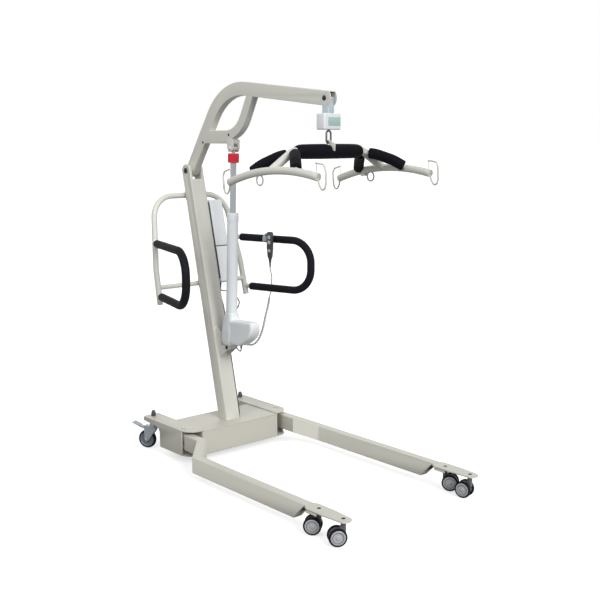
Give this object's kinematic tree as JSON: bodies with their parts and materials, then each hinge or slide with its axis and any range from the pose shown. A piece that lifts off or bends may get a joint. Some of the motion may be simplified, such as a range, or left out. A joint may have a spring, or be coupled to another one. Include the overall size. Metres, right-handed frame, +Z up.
{
  "type": "patient lift",
  "caption": "Wheeled mobile patient lift with spreading legs, leaning mast, looped boom raised by an electric actuator, weighing scale and padded four point spreader bar",
  "frame": {"origin": "on the floor, below the middle of the lift's footprint in X, on the centre plane in Y", "axes": "+X forward along the legs, +Y to the lift's left, +Z up"},
  "size_m": [1.7521, 0.9402, 1.9363],
  "materials": {
    "cream_paint": "satin powder coat",
    "white_plastic": "fine texture",
    "grey_plastic": "fine texture",
    "dark_plastic": "fine texture",
    "black_foam": "soft closed cell foam skin",
    "red_plastic": "smooth",
    "bright_steel": "zinc plated",
    "black_steel": "blackened",
    "tyre_rubber": "smooth tread",
    "cord_grey": "smooth",
    "display_green": "glossy window"
  },
  "bodies": {
    "base": {"base_box": "cream_paint", "deck_plate": "cream_paint", "side_plate_left": "cream_paint", "side_plate_right": "cream_paint", "mast": "cream_paint", "boom_pivot_bolt": "black_steel", "handle_frame": "cream_paint", "grip_left": "black_foam", "grip_right": "black_foam", "actuator_lower_pin": "black_steel", "control_box": "white_plastic", "battery_pack": "white_plastic", "handset_body": "dark_plastic", "leg_actuator_body": "dark_plastic", "leg_pivot_bolt_left": "bright_steel", "leg_pivot_bolt_right": "bright_steel", "actuator_cable": "dark_plastic", "leg_cable": "dark_plastic", "handset_cord": "cord_grey", "rear_left_stem_cap": "dark_plastic", "rear_right_stem_cap": "dark_plastic"},
    "left_leg": {"leg_left": "cream_paint"},
    "right_leg": {"leg_right": "cream_paint"},
    "yoke": {"spread_yoke": "bright_steel"},
    "boom_arm": {"boom": "cream_paint"},
    "actuator": {"actuator_tube": "white_plastic", "motor_housing": "white_plastic"},
    "rod": {"actuator_rod": "bright_steel"},
    "collar": {"release_collar": "red_plastic"},
    "tip": {"tip_clevis": "bright_steel", "tip_bolt": "black_steel", "scale_box": "white_plastic", "scale_display": "display_green"},
    "hook": {"hook_eye": "bright_steel"},
    "spreader": {"spreader_frame": "cream_paint", "centre_pad": "black_foam", "brace_pad_front_left": "black_foam", "brace_pad_front_right": "black_foam", "brace_pad_rear_left": "black_foam", "brace_pad_rear_right": "black_foam"},
    "boom_rocker": {"handset_boom_rocker": "grey_plastic"},
    "leg_rocker": {"handset_leg_rocker": "grey_plastic"},
    "caster_left_inner_frame": {"caster_left_inner_fork": "grey_plastic"},
    "caster_left_inner_roller_a": {"caster_left_inner_wheel_a": "tyre_rubber"},
    "caster_left_inner_roller_b": {"caster_left_inner_wheel_b": "tyre_rubber"},
    "caster_left_outer_frame": {"caster_left_outer_fork": "grey_plastic"},
    "caster_left_outer_roller_a": {"caster_left_outer_wheel_a": "tyre_rubber"},
    "caster_left_outer_roller_b": {"caster_left_outer_wheel_b": "tyre_rubber"},
    "rear_left_frame": {"rear_left_fork": "bright_steel"},
    "rear_left_roller": {"rear_left_wheel": "tyre_rubber"},
    "rear_left_pedal": {"rear_left_brake_pedal": "bright_steel"},
    "caster_right_inner_frame": {"caster_right_inner_fork": "grey_plastic"},
    "caster_right_inner_roller_a": {"caster_right_inner_wheel_a": "tyre_rubber"},
    "caster_right_inner_roller_b": {"caster_right_inner_wheel_b": "tyre_rubber"},
    "caster_right_outer_frame": {"caster_right_outer_fork": "grey_plastic"},
    "caster_right_outer_roller_a": {"caster_right_outer_wheel_a": "tyre_rubber"},
    "caster_right_outer_roller_b": {"caster_right_outer_wheel_b": "tyre_rubber"},
    "rear_right_frame": {"rear_right_fork": "bright_steel"},
    "rear_right_roller": {"rear_right_wheel": "tyre_rubber"},
    "rear_right_pedal": {"rear_right_brake_pedal": "bright_steel"}
  },
  "joints": [
    {"name": "boom_lift", "type": "hinge", "parent": "base", "child": "boom_arm", "pos_m": [-0.78538, 0, 1.487], "axis": [0, -1, 0], "range_deg": [-34, 3]},
    {"name": "actuator_tilt", "type": "hinge", "parent": "base", "child": "actuator", "pos_m": [-0.45838, 0, 0.57], "axis": [0, -1, 0], "range_deg": [-1.75, 0.2], "deforming": ["actuator_cable"]},
    {"name": "rod_extend", "type": "slide", "parent": "actuator", "child": "rod", "axis": [0.0375, 0, 0.9993], "range_m": [-0.23, 0.0205]},
    {"name": "release_collar_lift", "type": "slide", "parent": "rod", "child": "collar", "axis": [0.0375, 0, 0.9993], "range_m": [0, 0.0035], "stiffness_N_per_m": 900, "springref_m": -0.006},
    {"name": "tip_swing", "type": "hinge", "parent": "boom_arm", "child": "tip", "pos_m": [0.28302, 0, 1.838], "axis": [0, -1, 0], "range_deg": [-25, 45]},
    {"name": "hook_swivel", "type": "hinge", "parent": "tip", "child": "hook", "pos_m": [0.29162, 0, 1.697], "axis": [0, 0, 1], "continuous": true},
    {"name": "spreader_rock", "type": "hinge", "parent": "hook", "child": "spreader", "pos_m": [0.29162, 0, 1.6385], "axis": [0, -1, 0], "range_deg": [-20, 20]},
    {"name": "left_leg_spread", "type": "hinge", "parent": "base", "child": "left_leg", "pos_m": [-0.46788, 0.31, 0], "axis": [0, 0, 1], "range_deg": [0, 15]},
    {"name": "right_leg_spread", "type": "hinge", "parent": "base", "child": "right_leg", "pos_m": [-0.46788, -0.31, 0], "axis": [0, 0, -1], "range_deg": [0, 15]},
    {"name": "yoke_travel", "type": "slide", "parent": "base", "child": "yoke", "axis": [1, 0, 0], "range_m": [0, 0.027]},
    {"name": "caster_left_inner_swivel", "type": "hinge", "parent": "left_leg", "child": "caster_left_inner_frame", "pos_m": [0.68262, 0.407, 0], "axis": [0, 0, 1], "continuous": true},
    {"name": "caster_left_inner_roll_a", "type": "hinge", "parent": "caster_left_inner_frame", "child": "caster_left_inner_roller_a", "pos_m": [0.69381, 0.43719, 0.04], "axis": [-0.5519, 0.8339, 0], "continuous": true},
    {"name": "caster_left_inner_roll_b", "type": "hinge", "parent": "caster_left_inner_frame", "child": "caster_left_inner_roller_b", "pos_m": [0.71479, 0.40551, 0.04], "axis": [-0.5519, 0.8339, 0], "continuous": true},
    {"name": "caster_left_outer_swivel", "type": "hinge", "parent": "left_leg", "child": "caster_left_outer_frame", "pos_m": [0.83212, 0.407, 0], "axis": [0, 0, 1], "continuous": true},
    {"name": "caster_left_outer_roll_a", "type": "hinge", "parent": "caster_left_outer_frame", "child": "caster_left_outer_roller_a", "pos_m": [0.81145, 0.38231, 0.04], "axis": [0.2402, -0.9707, 0], "continuous": true},
    {"name": "caster_left_outer_roll_b", "type": "hinge", "parent": "caster_left_outer_frame", "child": "caster_left_outer_roller_b", "pos_m": [0.80232, 0.4192, 0.04], "axis": [0.2402, -0.9707, 0], "continuous": true},
    {"name": "rear_left_swivel", "type": "hinge", "parent": "base", "child": "rear_left_frame", "pos_m": [-0.76998, 0.2945, 0], "axis": [0, 0, 1], "continuous": true},
    {"name": "rear_left_roll", "type": "hinge", "parent": "rear_left_frame", "child": "rear_left_roller", "pos_m": [-0.80185, 0.3152, 0.05], "axis": [-0.5446, -0.8387, 0], "continuous": true},
    {"name": "rear_left_brake", "type": "hinge", "parent": "rear_left_frame", "child": "rear_left_pedal", "pos_m": [-0.80856, 0.31955, 0.114], "axis": [-0.5446, -0.8387, 0], "range_deg": [0, 12]},
    {"name": "caster_right_inner_swivel", "type": "hinge", "parent": "right_leg", "child": "caster_right_inner_frame", "pos_m": [0.68262, -0.407, 0], "axis": [0, 0, 1], "continuous": true},
    {"name": "caster_right_inner_roll_a", "type": "hinge", "parent": "caster_right_inner_frame", "child": "caster_right_inner_roller_a", "pos_m": [0.6741, -0.43806, 0.04], "axis": [0.6225, -0.7826, 0], "continuous": true},
    {"name": "caster_right_inner_roll_b", "type": "hinge", "parent": "caster_right_inner_frame", "child": "caster_right_inner_roller_b", "pos_m": [0.65045, -0.40832, 0.04], "axis": [0.6225, -0.7826, 0], "continuous": true},
    {"name": "caster_right_outer_swivel", "type": "hinge", "parent": "right_leg", "child": "caster_right_outer_frame", "pos_m": [0.83212, -0.407, 0], "axis": [0, 0, 1], "continuous": true},
    {"name": "caster_right_outer_roll_a", "type": "hinge", "parent": "caster_right_outer_frame", "child": "caster_right_outer_roller_a", "pos_m": [0.83417, -0.43914, 0.04], "axis": [0.8434, -0.5373, 0], "continuous": true},
    {"name": "caster_right_outer_roll_b", "type": "hinge", "parent": "caster_right_outer_frame", "child": "caster_right_outer_roller_b", "pos_m": [0.80213, -0.41872, 0.04], "axis": [0.8434, -0.5373, 0], "continuous": true},
    {"name": "rear_right_swivel", "type": "hinge", "parent": "base", "child": "rear_right_frame", "pos_m": [-0.76998, -0.2945, 0], "axis": [0, 0, 1], "continuous": true},
    {"name": "rear_right_roll", "type": "hinge", "parent": "rear_right_frame", "child": "rear_right_roller", "pos_m": [-0.80185, -0.3152, 0.05], "axis": [0.5446, -0.8387, 0], "continuous": true},
    {"name": "rear_right_brake", "type": "hinge", "parent": "rear_right_frame", "child": "rear_right_pedal", "pos_m": [-0.80856, -0.31955, 0.114], "axis": [0.5446, -0.8387, 0], "range_deg": [0, 12]},
    {"name": "handset_boom_rocker_press", "type": "hinge", "parent": "base", "child": "boom_rocker", "pos_m": [-0.49995, 0.29679, 1.128], "axis": [-0.9622, -0.2723, 0], "range_deg": [-5, 5], "stiffness_Nm_per_rad": 0.12},
    {"name": "handset_leg_rocker_press", "type": "hinge", "parent": "base", "child": "leg_rocker", "pos_m": [-0.49995, 0.29679, 1.1], "axis": [-0.9622, -0.2723, 0], "range_deg": [-5, 5], "stiffness_Nm_per_rad": 0.12}
  ],
  "couplings": [
    {"joint": "actuator_tilt", "follows": "boom_lift", "ratio": 0.05},
    {"joint": "rod_extend", "follows": "boom_lift", "m_per_rad": 0.382},
    {"joint": "right_leg_spread", "follows": "left_leg_spread", "ratio": 1},
    {"joint": "yoke_travel", "follows": "left_leg_spread", "m_per_rad": 0.1}
  ]
}
